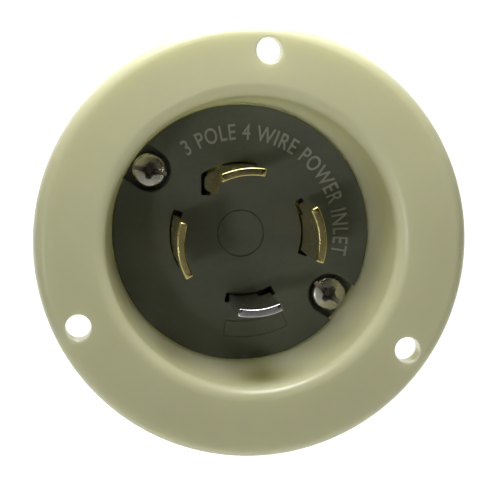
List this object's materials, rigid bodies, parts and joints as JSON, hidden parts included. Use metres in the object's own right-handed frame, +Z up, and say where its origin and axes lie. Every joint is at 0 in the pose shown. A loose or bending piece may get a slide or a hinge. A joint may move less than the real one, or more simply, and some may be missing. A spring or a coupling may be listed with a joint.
{
  "type": "flanged locking power inlet",
  "caption": "Round panel-mounted power inlet: translucent flange, deep well, curved male locking blades, and a terminal block with clamp screws behind.",
  "frame": {"origin": "on the inlet's axis, in the plane of the flange's back face, where it meets the panel", "axes": "-Y out of the front of the inlet, +Y into the panel, +Z up through the top mounting hole"},
  "size_m": [0.083, 0.0615, 0.083],
  "materials": {
    "natural_nylon": "translucent off-white moulding",
    "grey_nylon": "satin grey moulding",
    "black_nylon": "satin black moulding",
    "cover_nylon": "satin black moulding",
    "blade_brass": "polished brass strip",
    "blade_nickel": "nickel-plated strip",
    "assembly_steel": "bright zinc plate",
    "green_steel": "green plated steel",
    "screw_nickel": "nickel-plated",
    "screw_brass": "turned brass",
    "clamp_brass": "stamped brass",
    "clamp_nickel": "nickel-plated stamping"
  },
  "bodies": {
    "inlet": {"flange_housing": "natural_nylon", "blade_insert": "grey_nylon", "ground_blade": "blade_brass", "hot_x_blade": "blade_brass", "neutral_blade": "blade_nickel", "hot_y_blade": "blade_brass", "terminal_block": "black_nylon", "rear_cover": "cover_nylon", "assembly_screw_upper": "assembly_steel", "assembly_screw_lower": "assembly_steel", "assembly_nut_upper": "assembly_steel", "assembly_nut_lower": "assembly_steel"},
    "ground_screw": {"ground_terminal_screw": "green_steel"},
    "ground_clamp": {"ground_clamp_plate": "clamp_brass"},
    "hot_x_screw": {"hot_x_terminal_screw": "screw_brass"},
    "hot_x_clamp": {"hot_x_clamp_plate": "clamp_brass"},
    "neutral_screw": {"neutral_terminal_screw": "screw_nickel"},
    "neutral_clamp": {"neutral_clamp_plate": "clamp_nickel"},
    "hot_y_screw": {"hot_y_terminal_screw": "screw_brass"},
    "hot_y_clamp": {"hot_y_clamp_plate": "clamp_brass"}
  },
  "joints": [
    {"name": "ground_screw_turn", "type": "hinge", "parent": "inlet", "child": "ground_screw", "pos_m": [-0.00467, 0.038, 0.02052], "axis": [0.1045, 0, -0.9945], "range_deg": [0, 1620]},
    {"name": "ground_clamp_slide", "type": "slide", "parent": "inlet", "child": "ground_clamp", "axis": [-0.1045, 0, 0.9945], "range_m": [0, 0.00357]},
    {"name": "hot_x_screw_turn", "type": "hinge", "parent": "inlet", "child": "hot_x_screw", "pos_m": [-0.02052, 0.038, -0.00467], "axis": [0.9945, 0, 0.1045], "range_deg": [0, 1620]},
    {"name": "hot_x_clamp_slide", "type": "slide", "parent": "inlet", "child": "hot_x_clamp", "axis": [-0.9945, 0, -0.1045], "range_m": [0, 0.00357]},
    {"name": "neutral_screw_turn", "type": "hinge", "parent": "inlet", "child": "neutral_screw", "pos_m": [0.00467, 0.038, -0.02052], "axis": [-0.1045, 0, 0.9945], "range_deg": [0, 1620]},
    {"name": "neutral_clamp_slide", "type": "slide", "parent": "inlet", "child": "neutral_clamp", "axis": [0.1045, 0, -0.9945], "range_m": [0, 0.00357]},
    {"name": "hot_y_screw_turn", "type": "hinge", "parent": "inlet", "child": "hot_y_screw", "pos_m": [0.02052, 0.038, 0.00467], "axis": [-0.9945, 0, -0.1045], "range_deg": [0, 1620]},
    {"name": "hot_y_clamp_slide", "type": "slide", "parent": "inlet", "child": "hot_y_clamp", "axis": [0.9945, 0, 0.1045], "range_m": [0, 0.00357]}
  ],
  "couplings": [
    {"joint": "ground_screw_turn", "follows": "ground_clamp_slide", "rad_per_m": 7915.8},
    {"joint": "hot_x_screw_turn", "follows": "hot_x_clamp_slide", "rad_per_m": 7915.8},
    {"joint": "neutral_screw_turn", "follows": "neutral_clamp_slide", "rad_per_m": 7915.8},
    {"joint": "hot_y_screw_turn", "follows": "hot_y_clamp_slide", "rad_per_m": 7915.8}
  ]
}
